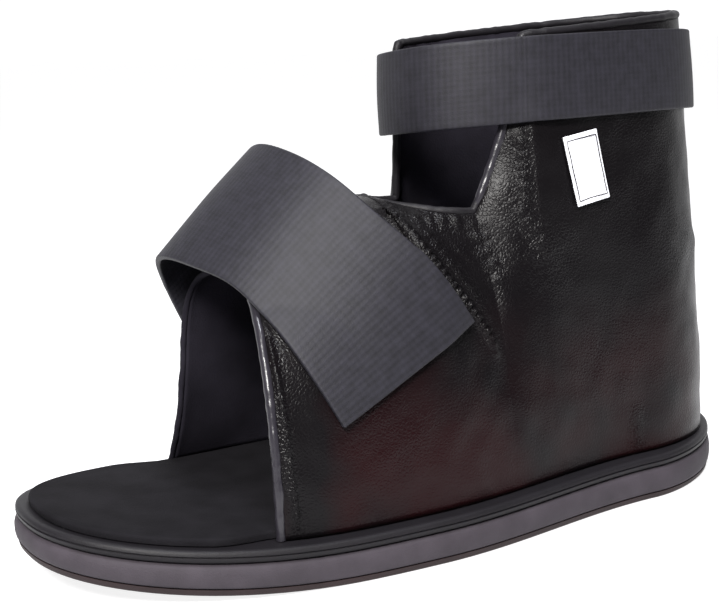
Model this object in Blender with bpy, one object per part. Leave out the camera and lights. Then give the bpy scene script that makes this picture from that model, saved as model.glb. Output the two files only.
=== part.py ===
"""Open-toe cast shoe: a flat layered sole with a toe spring, a hollow wrapped upper with an
open toe, an open throat and a high collar, and two wide fastening straps.

Metres. +X points to the toe, +Y to the wearer's left, +Z up. The origin is on the floor under
the middle of the sole's length. Heights are above the floor, and the x of a named station is
measured from the back of the heel.
"""

import math

import bmesh
import bpy
from mathutils import Vector
from mathutils.bvhtree import BVHTree

# Sole outline
LENGTH = 0.290
HEEL_WIDTH = 0.102
BALL_WIDTH = 0.130
HEEL_ARC_X = 0.060
BALL_X = 0.164
HEEL_ROUNDNESS = 1.68
TOE_ROUNDNESS = 2.39
UPPER_HEEL_ROUNDNESS = 2.05

# Sole heights
TOE_SPRING = 0.010
SPRING_START_X = 0.191
OUTSOLE_THICKNESS = 0.0022
MIDSOLE_HEEL_THICKNESS = 0.0098
MIDSOLE_TOE_THICKNESS = 0.0075
WELT_THICKNESS = 0.0044
INSOLE_THICKNESS = 0.0026
INSOLE_CLEARANCE = 0.0018
INSOLE_FLARE_START = 0.005
INSOLE_FLARE_LENGTH = 0.022
SEAM_GAP = 0.0003

# Upper
UPPER_WALL = 0.0022
UPPER_INSET = 0.0075
TOE_EDGE_X = 0.2185
FAR_TOE_EDGE_X = 0.2155
TOE_EDGE_CREST_X = 0.206
TOE_EDGE_CREST_HEIGHT = 0.0975
INSTEP_HEIGHT = 0.1195
CREST_SAG = 0.5
THROAT_FRONT_X = 0.157
NOTCH_X = 0.1268
NOTCH_HEIGHT = 0.1130
NOTCH_HALF_WIDTH = 0.0295
COLLAR_HEIGHT = 0.1799
COLLAR_FRONT_HEIGHT = 0.1722
COLLAR_SIDE_X = 0.060
COLLAR_BACK_X = 0.0175
COLLAR_FRONT_X = 0.1370
COLLAR_WIDTH = 0.0690
COLLAR_ROUNDNESS = 2.44
NEAR_CORNER_X = 0.106
FAR_CORNER_X = 0.1265
PIPING_RADIUS = 0.0016
PIPING_GAP = 0.0005
SHARPEST_MITER = 0.6

# Straps and tag
STRAP_THICKNESS = 0.0024
FOREFOOT_STRAP_HALF_SPAN = 0.056
COLLAR_STRAP_WIDTH = 0.0302
COLLAR_STRAP_DROP = 0.0372
COLLAR_STRAP_TILT = 0.085
COLLAR_STRAP_SLOPE = 0.017
COLLAR_STRAP_SLACK = 0.0012
COLLAR_STRAP_EASE = 0.0024
STRAP_LEAVES_BEFORE = 0.018
STRAP_FREE_BEFORE = 0.004
SEAT_REACH = 0.005
STRAP_OVER_BEAD = 0.0014
STRAP_GAP = 0.0006
TAG_WIDTH = 0.0152
TAG_LENGTH = 0.0255
TAG_THICKNESS = 0.0008
TAG_X = 0.0852
TAG_DROP = 0.0533
TAG_TURN = math.radians(9)

# Mesh fineness
HEEL_STEPS = 12
SIDE_STEPS = 12
TOE_STEPS = 20
RIB_STEPS = 12
PIPING_SIDES = 8

MIDDLE_X = LENGTH / 2

# Side profile of each sole layer: share of its thickness, inset from the sole outline.
OUTSOLE_SIDE = (
    {"rise": 0.0, "inset": 0.0022},
    {"rise": 0.5, "inset": 0.0011},
    {"rise": 1.0, "inset": 0.0009},
)
MIDSOLE_SIDE = (
    {"rise": 0.0, "inset": 0.0007},
    {"rise": 0.18, "inset": 0.0001},
    {"rise": 0.55, "inset": 0.0},
    {"rise": 0.86, "inset": 0.0005},
    {"rise": 1.0, "inset": 0.0015},
)
WELT_SIDE = (
    {"rise": 0.0, "inset": 0.0019},
    {"rise": 0.16, "inset": 0.0009},
    {"rise": 0.70, "inset": 0.0008},
    {"rise": 1.0, "inset": 0.0020},
)
INSOLE_SIDE = (
    {"rise": 0.0, "inset": 0.0},
    {"rise": 0.6, "inset": 0.0},
    {"rise": 1.0, "inset": 0.0009},
)

# Rib shape between its foot on the welt and its head on the upper's free edge. rise is the pull
# upwards at the foot, and forward, inward and upward are the pulls at the head, as shares of the
# rib's reach.
SHAFT_PULL = {"rise": 1.0, "forward": 1.0, "inward": 1.0, "upward": 1.0}
NOTCH_PULL = {"rise": 1.35, "forward": 0.5, "inward": 1.1, "upward": 0.55}
ARCH_PULL = {"rise": 1.80, "forward": 2.0, "inward": 1.95, "upward": 0.0}
FAR_ARCH_PULL = {"rise": 1.80, "forward": 1.0, "inward": 3.8, "upward": 0.0}

# How far the far quarter leans in from its foot at the toe opening, where the near one wraps over.
FAR_LEAN = 2.0

# The free edge that each run of ribs leads up to, where their feet stand on the welt, and how many
# ribs the run has.
FOOT_ROWS = (
    {"edge": "collar", "from_x": HEEL_ARC_X, "to_x": NEAR_CORNER_X, "ribs": 7},
    {"edge": "throat side", "from_x": NEAR_CORNER_X, "to_x": NOTCH_X, "ribs": 9},
    {"edge": "throat front", "from_x": NOTCH_X, "to_x": THROAT_FRONT_X, "ribs": 7},
    {"edge": "crest", "from_x": THROAT_FRONT_X, "to_x": TOE_EDGE_X, "ribs": 12},
)

# Where the throat's side edge bends between the collar's corner and the notch, as shares of the way.
THROAT_BEND = {"forward": 0.24, "inward": 0.6, "down": 0.52}

# Forefoot strap, from its sewn far end over the crest to its square near end. across is a share of
# the half span, x shares are of the sole's length, z shares of the instep height, and lift says
# how far the webbing has left the upper: 0 lies on it, 1 follows the table.
STRAP_ROWS = (
    {"across": -1.00, "front_x": 0.695, "front_z": 0.42, "rear_x": 0.515, "rear_z": 0.66, "lift": 0.0},
    {"across": -0.97, "front_x": 0.717, "front_z": 0.56, "rear_x": 0.560, "rear_z": 0.85, "lift": 0.5},
    {"across": -0.86, "front_x": 0.745, "front_z": 0.72, "rear_x": 0.605, "rear_z": 1.03, "lift": 1.0},
    {"across": -0.66, "front_x": 0.768, "front_z": 0.81, "rear_x": 0.632, "rear_z": 1.12, "lift": 1.0},
    {"across": -0.36, "front_x": 0.780, "front_z": 0.85, "rear_x": 0.643, "rear_z": 1.16, "lift": 1.0},
    {"across": 0.00, "front_x": 0.772, "front_z": 0.84, "rear_x": 0.640, "rear_z": 1.15, "lift": 1.0},
    {"across": 0.36, "front_x": 0.752, "front_z": 0.80, "rear_x": 0.620, "rear_z": 1.09, "lift": 1.0},
    {"across": 0.64, "front_x": 0.730, "front_z": 0.70, "rear_x": 0.583, "rear_z": 0.97, "lift": 1.0},
    {"across": 0.84, "front_x": 0.706, "front_z": 0.57, "rear_x": 0.538, "rear_z": 0.85, "lift": 0.7},
    {"across": 1.00, "front_x": 0.678, "front_z": 0.425, "rear_x": 0.477, "rear_z": 0.675, "lift": 0.0},
)
STRAP_STEPS_PER_ROW = 4
STRAP_WIDTH_STEPS = 6
COLLAR_STRAP_STEPS = 66
COLLAR_STRAP_WIDTH_STEPS = 4
TAG_STEPS = 5


def mix(a, b, t):
    return a + (b - a) * t


def smooth(low, high, value):
    t = min(max((value - low) / (high - low), 0.0), 1.0)
    return t * t * (3 - 2 * t)


# Sole surfaces


def sole_point(inset, station, heel_roundness=HEEL_ROUNDNESS):
    """Point (x, half width) of the sole outline, inset by a distance.

    station runs 0 to 1 round the heel, 1 to 2 along the side and 2 to 3 round the toe.
    """
    heel_half = HEEL_WIDTH / 2 - inset
    ball_half = BALL_WIDTH / 2 - inset
    if station <= 1:
        angle = station * math.pi / 2
        reach = HEEL_ARC_X - inset
        x = HEEL_ARC_X - reach * math.cos(angle) ** (2 / heel_roundness)
        return x, heel_half * math.sin(angle) ** (2 / heel_roundness)
    if station <= 2:
        t = station - 1
        return mix(HEEL_ARC_X, BALL_X, t), mix(heel_half, ball_half, smooth(0, 1, t))
    angle = (3 - station) * math.pi / 2
    reach = LENGTH - BALL_X - inset
    x = BALL_X + reach * math.cos(angle) ** (2 / TOE_ROUNDNESS)
    return x, ball_half * math.sin(angle) ** (2 / TOE_ROUNDNESS)


def sole_stations():
    heel = [i / HEEL_STEPS for i in range(HEEL_STEPS)]
    side = [1 + i / SIDE_STEPS for i in range(SIDE_STEPS)]
    toe = [2 + i / TOE_STEPS for i in range(TOE_STEPS + 1)]
    return heel + side + toe


def floor_rise(x):
    """Height of the sole's underside: flat on the floor, then sprung up at the toe."""
    t = max((x - SPRING_START_X) / (LENGTH - SPRING_START_X), 0.0)
    return TOE_SPRING * t * t


def midsole_thickness(x):
    return mix(MIDSOLE_HEEL_THICKNESS, MIDSOLE_TOE_THICKNESS, x / LENGTH)


def midsole_floor(x):
    return floor_rise(x) + OUTSOLE_THICKNESS + SEAM_GAP


def welt_floor(x):
    return midsole_floor(x) + midsole_thickness(x) + SEAM_GAP


def upper_floor(x):
    return welt_floor(x) + WELT_THICKNESS + SEAM_GAP


def insole_inset(x):
    """The footbed clears the upper's wall, and widens towards the rim in front of it."""
    inside = UPPER_INSET + UPPER_WALL + INSOLE_CLEARANCE
    start = TOE_EDGE_X + INSOLE_FLARE_START
    return mix(inside, UPPER_INSET - UPPER_WALL, smooth(start, start + INSOLE_FLARE_LENGTH, x))


# Building helpers


def placed(x, y, z):
    return Vector((x - MIDDLE_X, y, z))


def material(name, colour, roughness):
    made = bpy.data.materials.new(name)
    made.use_nodes = True
    shader = made.node_tree.nodes["Principled BSDF"]
    shader.inputs["Base Color"].default_value = (*colour, 1)
    shader.inputs["Roughness"].default_value = roughness
    shader.inputs["Metallic"].default_value = 0.0
    made.diffuse_color = (*colour, 1)
    return made


def make_object(name, bm, finish, sharp_angle=40, closed=True):
    bmesh.ops.remove_doubles(bm, verts=bm.verts, dist=1e-6)
    if closed:
        bmesh.ops.recalc_face_normals(bm, faces=bm.faces)
    mesh = bpy.data.meshes.new(name)
    bm.to_mesh(mesh)
    bm.free()
    mesh.shade_smooth()
    mesh.set_sharp_from_angle(angle=math.radians(sharp_angle))
    mesh.materials.append(finish)
    made = bpy.data.objects.new(name, mesh)
    bpy.context.scene.collection.objects.link(made)
    return made


def thicken(target, thickness, offset):
    solid = target.modifiers.new("wall", "SOLIDIFY")
    solid.thickness = thickness
    solid.offset = offset
    solid.use_even_offset = True
    solid.use_rim = True


def skin(bm, rows, closed=False):
    """Quads between rows of points, with row ends joined where closed."""
    grid = [[bm.verts.new(point) for point in row] for row in rows]
    pairs = list(zip(grid, grid[1:]))
    if closed:
        pairs.append((grid[-1], grid[0]))
    for first, second in pairs:
        for j in range(len(first) - 1):
            bm.faces.new((first[j], first[j + 1], second[j + 1], second[j]))
    return grid


def sole_layer(name, side, floor, thickness, inset_at, finish):
    """A closed layer whose edge follows the sole outline, lofted through its side profile."""
    bm = bmesh.new()
    loops = []
    for row in side:
        near = []
        for station in sole_stations():
            x, _ = sole_point(0, station)
            x, y = sole_point(inset_at(x) + row["inset"], station)
            near.append((x, y, floor(x) + row["rise"] * thickness(x)))
        far = [(x, -y, z) for x, y, z in near[-2:0:-1]]
        loops.append([bm.verts.new(placed(*point)) for point in near + far])
    count = len(loops[0])
    for lower, upper in zip(loops, loops[1:]):
        for i in range(count):
            j = (i + 1) % count
            bm.faces.new((lower[i], lower[j], upper[j], upper[i]))
    half = count // 2
    for loop in (loops[0], loops[-1]):
        bm.faces.new((loop[0], loop[1], loop[-1]))
        for i in range(1, half - 1):
            bm.faces.new((loop[i], loop[i + 1], loop[-i - 1], loop[-i]))
        bm.faces.new((loop[half - 1], loop[half], loop[half + 1]))
    return make_object(name, bm, finish)


# Upper


def welt_foot(x):
    """Foot of a rib on the straight side of the heel-to-toe outline, at a given x."""
    low, high = 1.0, 3.0
    for _ in range(40):
        middle = (low + high) / 2
        if sole_point(UPPER_INSET, middle)[0] < x:
            low = middle
        else:
            high = middle
    return Vector((x, sole_point(UPPER_INSET, low)[1], upper_floor(x)))


def collar_half_width(x):
    """Half width of the oval that the collar's rim follows, at a given x."""
    middle = (COLLAR_BACK_X + COLLAR_FRONT_X) / 2
    share = min(abs(x - middle) / (COLLAR_FRONT_X - middle), 1.0)
    return COLLAR_WIDTH / 2 * (1 - share**COLLAR_ROUNDNESS) ** (1 / COLLAR_ROUNDNESS)


def on_rim(x):
    """Point of the collar's rim at a given x. The rim falls evenly from the back to the front."""
    share = (x - COLLAR_BACK_X) / (FAR_CORNER_X - COLLAR_BACK_X)
    return Vector((x, collar_half_width(x), mix(COLLAR_HEIGHT, COLLAR_FRONT_HEIGHT, share)))


def rim_point(share, corner_x):
    """Head of a rib on the collar rim: 0 at the widest part, 1 at the front corner."""
    return on_rim(mix(COLLAR_SIDE_X, corner_x, share))


def throat_side_point(share, corner_x):
    """Head of a rib on the throat's side edge: 0 at the collar's corner, 1 at the notch."""
    top = rim_point(1, corner_x)
    notch = Vector((NOTCH_X, NOTCH_HALF_WIDTH, NOTCH_HEIGHT))
    ways = (THROAT_BEND["forward"], THROAT_BEND["inward"], THROAT_BEND["down"])
    bend = Vector([mix(a, b, way) for a, b, way in zip(top, notch, ways)])
    return top.lerp(bend, share).lerp(bend.lerp(notch, share), share)


def throat_front_point(share, corner_x):
    """Head of a rib on the throat's rounded front edge: 0 at the notch, 1 on the crest."""
    angle = (1 - share) * math.pi / 2
    x = mix(NOTCH_X, THROAT_FRONT_X, math.cos(angle))
    y = NOTCH_HALF_WIDTH * math.sin(angle)
    return Vector((x, y, mix(INSTEP_HEIGHT, NOTCH_HEIGHT, math.sin(angle) ** 2)))


def crest_point(share, corner_x):
    """Head of a rib on the crest of the instep: 0 at the throat, 1 at the toe opening."""
    x = mix(THROAT_FRONT_X, TOE_EDGE_CREST_X, share)
    sag = mix(share, share * share, CREST_SAG)
    return Vector((x, 0, mix(INSTEP_HEIGHT, TOE_EDGE_CREST_HEIGHT, sag)))


def mixed_pull(first, second, share):
    return {key: mix(first[key], second[key], smooth(0, 1, share)) for key in first}


def rib(foot, head, pull, lean=0.0):
    """Points up one rib of the upper: a cubic from its foot on the welt to its head on the edge."""
    reach = head - foot
    start = Vector((0, lean * reach.y, pull["rise"] * reach.z))
    foot = foot + Vector((0, 0, UPPER_WALL * abs(start.y) / start.length))
    end = Vector((pull["forward"] * reach.x, pull["inward"] * reach.y, pull["upward"] * reach.z))
    points = []
    for i in range(RIB_STEPS + 1):
        t = i / RIB_STEPS
        a = 2 * t**3 - 3 * t**2 + 1
        b = t**3 - 2 * t**2 + t
        c = -2 * t**3 + 3 * t**2
        d = t**3 - t**2
        points.append(a * foot + b * start + c * head + d * end)
    return points


HEADS = {"collar": rim_point, "throat side": throat_side_point, "throat front": throat_front_point}
HEADS["crest"] = crest_point


def half_ribs(corner_x, toe_x, toe_lean, toe_pull):
    """The ribs of one half, from the heel's middle round to the toe opening."""
    pulls = {
        "collar": (SHAFT_PULL, SHAFT_PULL),
        "throat side": (SHAFT_PULL, NOTCH_PULL),
        "throat front": (NOTCH_PULL, ARCH_PULL),
        "crest": (ARCH_PULL, toe_pull),
    }
    ribs = []
    for i in range(HEEL_STEPS):
        station = i / HEEL_STEPS
        x, y = sole_point(UPPER_INSET, station, UPPER_HEEL_ROUNDNESS)
        angle = station * math.pi / 2
        reach = COLLAR_SIDE_X - COLLAR_BACK_X
        head_x = COLLAR_SIDE_X - reach * math.cos(angle) ** (2 / UPPER_HEEL_ROUNDNESS)
        foot = Vector((x, y, upper_floor(x)))
        ribs.append(rib(foot, on_rim(head_x), SHAFT_PULL))
    for row in FOOT_ROWS:
        head_at = HEADS[row["edge"]]
        first, second = pulls[row["edge"]]
        to_x = toe_x if row["edge"] == "crest" else row["to_x"]
        for i in range(row["ribs"]):
            share = i / row["ribs"]
            foot = welt_foot(mix(row["from_x"], to_x, share))
            lean = toe_lean * smooth(NOTCH_X, toe_x, foot.x)
            ribs.append(rib(foot, head_at(share, corner_x), mixed_pull(first, second, share), lean))
    ribs.append(rib(welt_foot(toe_x), crest_point(1, corner_x), toe_pull, toe_lean))
    return ribs


def mirrored(points):
    return [Vector((p.x, -p.y, p.z)) for p in points]


def moved_to_middle(points):
    return [p - Vector((MIDDLE_X, 0, 0)) for p in points]


def upper_ribs():
    near = half_ribs(NEAR_CORNER_X, TOE_EDGE_X, 0.0, ARCH_PULL)
    far_half = half_ribs(FAR_CORNER_X, FAR_TOE_EDGE_X, FAR_LEAN, FAR_ARCH_PULL)
    far = [mirrored(points) for points in far_half[:0:-1]]
    return [moved_to_middle(points) for points in far + near]


def surface_tree(rows):
    """A search tree over the quads between ribs, wound so that its normals point outwards."""
    points = [p for row in rows for p in row]
    width = len(rows[0])
    faces = []
    for i in range(len(rows) - 1):
        for j in range(width - 1):
            a = i * width + j
            faces.append((a, a + 1, a + width + 1, a + width))
    return BVHTree.FromPolygons(points, faces)


def upper_shell(rows, finish):
    bm = bmesh.new()
    skin(bm, rows)
    made = make_object("upper", bm, finish, 60, closed=False)
    thicken(made, UPPER_WALL, -1)
    return made


def tube(name, path, closed, finish):
    """A round bead along a path, on a curve with a round bevel."""
    curve = bpy.data.curves.new(name, "CURVE")
    curve.dimensions = "3D"
    curve.bevel_depth = PIPING_RADIUS
    curve.bevel_resolution = (PIPING_SIDES - 4) // 2
    curve.use_fill_caps = not closed
    spline = curve.splines.new("POLY")
    spline.points.add(len(path) - 1)
    for point, place in zip(spline.points, path):
        point.co = (*place, 1)
    spline.use_cyclic_u = closed
    curve.materials.append(finish)
    made = bpy.data.objects.new(name, curve)
    bpy.context.scene.collection.objects.link(made)
    return made


def beyond_edge(edge, inner, tree, closed):
    """Middle of a bead just past the wall's edge and half a wall deep."""
    path = []
    last = len(edge) - 1
    for i, (point, before) in enumerate(zip(edge, inner)):
        normal = tree.find_nearest(point)[1]
        following = edge[(i + 1) % (last + 1)] if closed else edge[min(i + 1, last)]
        previous = edge[i - 1] if closed else edge[max(i - 1, 0)]
        outwards = (following - previous).cross(normal).normalized()
        if outwards.dot(point - before) < 0:
            outwards.negate()
        square = (following - point).cross(normal).normalized()
        miter = max(abs(square.dot(outwards)), SHARPEST_MITER) if square.length > 0 else 1
        reach = (PIPING_RADIUS + PIPING_GAP) / miter
        path.append(point + outwards * reach - normal * (UPPER_WALL / 2))
    return path


def toe_piping(rows, tree, finish):
    """The bead round the toe opening, from welt to welt over the crest."""
    near_edge, near_inner = rows[-1], rows[-2]
    far_edge, far_inner = rows[0], rows[1]
    lift = Vector((0, 0, PIPING_RADIUS))
    edge = near_edge[:-1] + far_edge[::-1]
    inner = near_inner[:-1] + far_inner[::-1]
    path = beyond_edge(edge, inner, tree, False)
    path[0] = path[0] + lift
    path[-1] = path[-1] + lift
    return tube("toe_piping", path, False, finish)


def collar_bead_path(rows, tree):
    """The path of the bead round the throat and along the collar rim, one closed loop."""
    crest = sum(row["ribs"] for row in FOOT_ROWS if row["edge"] == "crest")
    ring = rows[crest:-crest]
    edge = [row[-1] for row in ring]
    inner = [row[-2] for row in ring]
    return beyond_edge(edge, inner, tree, True)


# Straps and tag


def seated(point, tree, clearance, lift):
    """Moves a point to its clearance off the surface, or leaves it where it is free to lift."""
    nearest, normal, _, distance = tree.find_nearest(point)
    seat = nearest + normal * clearance
    if (point - nearest).dot(normal) < clearance and distance < SEAT_REACH:
        return seat
    return seat.lerp(point, lift)


def clear_of_bead(point, path, away):
    """Moves a strap's point away until its webbing passes over the bead along a path."""
    needed = PIPING_RADIUS + STRAP_THICKNESS / 2 + STRAP_OVER_BEAD
    for _ in range(8):
        closest = []
        for a, b in zip(path, path[1:] + path[:1]):
            share = min(max((point - a).dot(b - a) / (b - a).length_squared, 0.0), 1.0)
            closest.append((point - a.lerp(b, share)).length)
        point = point + away * max(needed - min(closest), 0.0)
    return point


def strap_row(position):
    """The strap table's values at a fractional row, eased through its neighbours."""
    last = len(STRAP_ROWS) - 1
    i = min(int(position), last - 1)
    t = position - i
    rows = [STRAP_ROWS[min(max(k, 0), last)] for k in (i - 1, i, i + 1, i + 2)]
    eased = {}
    for key in STRAP_ROWS[0]:
        a, b, c, d = (row[key] for row in rows)
        eased[key] = b + 0.5 * t * (c - a + t * (2 * a - 5 * b + 4 * c - d + t * (3 * (b - c) + d - a)))
    return eased


def forefoot_strap(tree, finish):
    bm = bmesh.new()
    clearance = STRAP_THICKNESS / 2 + STRAP_GAP
    steps = (len(STRAP_ROWS) - 1) * STRAP_STEPS_PER_ROW
    rows = []
    for i in range(steps + 1):
        row = strap_row(i / STRAP_STEPS_PER_ROW)
        y = row["across"] * FOREFOOT_STRAP_HALF_SPAN
        front = placed(row["front_x"] * LENGTH, y, row["front_z"] * INSTEP_HEIGHT)
        rear = placed(row["rear_x"] * LENGTH, y, row["rear_z"] * INSTEP_HEIGHT)
        line = [front.lerp(rear, j / STRAP_WIDTH_STEPS) for j in range(STRAP_WIDTH_STEPS + 1)]
        rows.append([seated(p, tree, clearance, min(max(row["lift"], 0), 1)) for p in line])
    skin(bm, rows)
    made = make_object("forefoot_strap", bm, finish)
    thicken(made, STRAP_THICKNESS, 0)
    return made


def collar_strap(tree, bead_path, finish):
    """A band round the shaft that passes over the piping and bridges the open throat in front."""
    bm = bmesh.new()
    clearance = STRAP_THICKNESS / 2 + SEAM_GAP
    bead = PIPING_RADIUS - UPPER_WALL / 2 + SEAM_GAP
    half_length = (COLLAR_FRONT_X - COLLAR_BACK_X) / 2 + clearance + COLLAR_STRAP_EASE
    half_width = COLLAR_WIDTH / 2 + clearance + COLLAR_STRAP_EASE
    middle = (COLLAR_FRONT_X + COLLAR_BACK_X) / 2
    rows = []
    for i in range(COLLAR_STRAP_STEPS):
        angle = i / COLLAR_STRAP_STEPS * 2 * math.pi
        c, s = math.cos(angle), math.sin(angle)
        size = (abs(c) ** COLLAR_ROUNDNESS + abs(s) ** COLLAR_ROUNDNESS) ** (-1 / COLLAR_ROUNDNESS)
        x = middle + half_length * c * size
        y = half_width * s * size
        corner_x = NEAR_CORNER_X if y > 0 else FAR_CORNER_X
        leaves_x = corner_x - STRAP_LEAVES_BEFORE
        free = smooth(leaves_x, corner_x - STRAP_FREE_BEFORE, x)
        over_bead = bead * smooth(leaves_x - STRAP_LEAVES_BEFORE, leaves_x, x)
        low = COLLAR_HEIGHT - COLLAR_STRAP_DROP + COLLAR_STRAP_TILT * y
        low -= COLLAR_STRAP_SLOPE * (x - COLLAR_BACK_X)
        slack = COLLAR_STRAP_SLACK * (1 - smooth(COLLAR_BACK_X, COLLAR_SIDE_X, x))
        line = []
        for j in range(COLLAR_STRAP_WIDTH_STEPS + 1):
            point = placed(x, y, low + COLLAR_STRAP_WIDTH * j / COLLAR_STRAP_WIDTH_STEPS)
            point = seated(point, tree, clearance + over_bead + slack, free)
            line.append(clear_of_bead(point, bead_path, Vector((c, s, 0))))
        rows.append(line)
    skin(bm, rows, closed=True)
    made = make_object("collar_strap", bm, finish)
    thicken(made, STRAP_THICKNESS, 0)
    return made


def tag(tree, finish):
    """A flat label stitched on the near side of the shaft, just below the collar strap."""
    bm = bmesh.new()
    clearance = TAG_THICKNESS / 2 + SEAM_GAP
    rows = []
    for i in range(TAG_STEPS + 1):
        line = []
        for j in range(TAG_STEPS + 1):
            across = (i / TAG_STEPS - 0.5) * TAG_WIDTH
            along = (j / TAG_STEPS - 0.5) * TAG_LENGTH
            x = TAG_X + across * math.cos(TAG_TURN) + along * math.sin(TAG_TURN)
            z = COLLAR_HEIGHT - TAG_DROP - across * math.sin(TAG_TURN) + along * math.cos(TAG_TURN)
            hit, normal, _, _ = tree.ray_cast(placed(x, BALL_WIDTH, z), Vector((0, -1, 0)))
            line.append(hit + normal * clearance)
        rows.append(line)
    skin(bm, rows)
    made = make_object("tag", bm, finish)
    thicken(made, TAG_THICKNESS, 0)
    return made


def clear_scene():
    for found in list(bpy.data.objects):
        bpy.data.objects.remove(found, do_unlink=True)


def main():
    clear_scene()
    rubber = material("outsole rubber", (0.035, 0.028, 0.030), 0.7)
    foam = material("midsole foam", (0.17, 0.14, 0.155), 0.75)
    rim = material("rim foam", (0.020, 0.019, 0.022), 0.6)
    fabric = material("footbed fabric", (0.022, 0.020, 0.026), 0.9)
    vinyl = material("grained vinyl", (0.016, 0.014, 0.016), 0.35)
    bead = material("edge bead vinyl", (0.030, 0.028, 0.032), 0.3)
    webbing = material("hook-and-loop webbing", (0.060, 0.055, 0.072), 0.85)
    paper = material("white label", (0.85, 0.86, 0.88), 0.6)

    sole_layer("outsole", OUTSOLE_SIDE, floor_rise, lambda x: OUTSOLE_THICKNESS, lambda x: 0, rubber)
    sole_layer("midsole", MIDSOLE_SIDE, midsole_floor, midsole_thickness, lambda x: 0, foam)
    sole_layer("welt", WELT_SIDE, welt_floor, lambda x: WELT_THICKNESS, lambda x: 0, rim)
    sole_layer("insole", INSOLE_SIDE, upper_floor, lambda x: INSOLE_THICKNESS, insole_inset, fabric)

    rows = upper_ribs()
    tree = surface_tree(rows)
    upper_shell(rows, vinyl)
    toe_piping(rows, tree, bead)
    bead_path = collar_bead_path(rows, tree)
    tube("collar_piping", bead_path, True, bead)
    forefoot_strap(tree, webbing)
    collar_strap(tree, bead_path, webbing)
    tag(tree, paper)


main()
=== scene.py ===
# Looks of an open-toe cast shoe: grained vinyl upper, fabric lining, layered foam sole and two
# webbing straps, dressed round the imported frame. Metres, +X to the toe, +Y to the wearer's left.
# An x inside a dictionary or a table is measured from the back of the heel.
import math

import bmesh
import bpy
from mathutils import Matrix, Vector, noise
from mathutils.bvhtree import BVHTree


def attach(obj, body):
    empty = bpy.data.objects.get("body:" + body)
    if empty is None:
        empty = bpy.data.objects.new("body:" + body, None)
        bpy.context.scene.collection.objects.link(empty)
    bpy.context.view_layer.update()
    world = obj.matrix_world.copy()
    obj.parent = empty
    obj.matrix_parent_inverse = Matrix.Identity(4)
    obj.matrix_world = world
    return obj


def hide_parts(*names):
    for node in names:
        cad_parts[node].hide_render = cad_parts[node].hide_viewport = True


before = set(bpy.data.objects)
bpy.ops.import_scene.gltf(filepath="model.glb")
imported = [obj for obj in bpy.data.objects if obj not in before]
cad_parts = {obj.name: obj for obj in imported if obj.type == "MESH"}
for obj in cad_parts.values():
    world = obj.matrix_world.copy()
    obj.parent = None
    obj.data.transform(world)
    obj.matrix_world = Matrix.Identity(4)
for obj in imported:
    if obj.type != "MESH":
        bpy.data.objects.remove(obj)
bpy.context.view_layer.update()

# The shoe's own sizes, as the frame was built
shoe = {
    "length": 0.290, "heelWidth": 0.102, "ballWidth": 0.130, "heelArcX": 0.060, "ballX": 0.164,
    "heelRoundness": 1.68, "toeRoundness": 2.39, "upperHeelRoundness": 2.05,
    "toeSpring": 0.010, "springStartX": 0.191,
    "outsole": 0.0022, "midsoleHeel": 0.0098, "midsoleToe": 0.0075, "welt": 0.0044,
    "insole": 0.0026, "gap": 0.0003,
    "wall": 0.0022, "upperInset": 0.0075,
    "nearToeX": 0.2185, "farToeX": 0.2155, "crestX": 0.206, "crestHeight": 0.0975,
    "instepHeight": 0.1195, "crestSag": 0.5, "throatFrontX": 0.157,
    "notchX": 0.1268, "notchHeight": 0.1130, "notchHalfWidth": 0.0295,
    "collarHeight": 0.1799, "collarFrontHeight": 0.1722, "collarSideX": 0.060,
    "collarBackX": 0.0175, "collarFrontX": 0.1370, "collarWidth": 0.0690,
    "collarRoundness": 2.44, "nearCornerX": 0.106, "farCornerX": 0.1265,
}
middleX = shoe["length"] / 2
millimetre = 0.001


# Small helpers
def mix(a, b, t):
    return a + (b - a) * t


def smooth(low, high, value):     # an eased step from 0 at low to 1 at high
    t = min(max((value - low) / (high - low), 0.0), 1.0)
    return t * t * (3 - 2 * t)


def placed(x, y, z):
    return Vector((x - middleX, y, z))


def hexToLinear(text):
    channels = [int(text[i:i + 2], 16) / 255 for i in (1, 3, 5)]
    linear = [c / 12.92 if c <= 0.04045 else ((c + 0.055) / 1.055) ** 2.4 for c in channels]
    return (*linear, 1.0)


def addNode(tree, kind, settings=None, links=None):
    node = tree.nodes.new(kind)
    for key, value in (settings or {}).items():
        if isinstance(key, int) or key in node.inputs:
            node.inputs[key].default_value = value
        else:
            setattr(node, key, value)
    for key, source in (links or {}).items():
        tree.links.new(source, node.inputs[key])
    return node


def newMaterial(name, colour, roughness, specular):
    material = bpy.data.materials.new(name)
    material.use_nodes = True
    shader = material.node_tree.nodes["Principled BSDF"]
    shader.inputs["Base Color"].default_value = hexToLinear(colour)
    shader.inputs["Roughness"].default_value = roughness
    shader.inputs["Specular IOR Level"].default_value = specular
    return material, material.node_tree, shader


def finishPiece(name, bm, material, replaced=(), sharpAngle=180):
    mesh = bpy.data.meshes.new(name)
    bm.to_mesh(mesh)
    bm.free()
    mesh.shade_smooth()
    if sharpAngle < 180:
        mesh.set_sharp_from_angle(angle=math.radians(sharpAngle))
    mesh.materials.append(material)
    piece = bpy.data.objects.new(name, mesh)
    bpy.context.scene.collection.objects.link(piece)
    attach(piece, "root")
    if replaced:
        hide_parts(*replaced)
    return piece


def addSolidify(piece, thickness, offset):
    wall = piece.modifiers.new("wall", "SOLIDIFY")
    wall.thickness = thickness
    wall.offset = offset
    return wall


# Materials, each named for the real one


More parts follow.
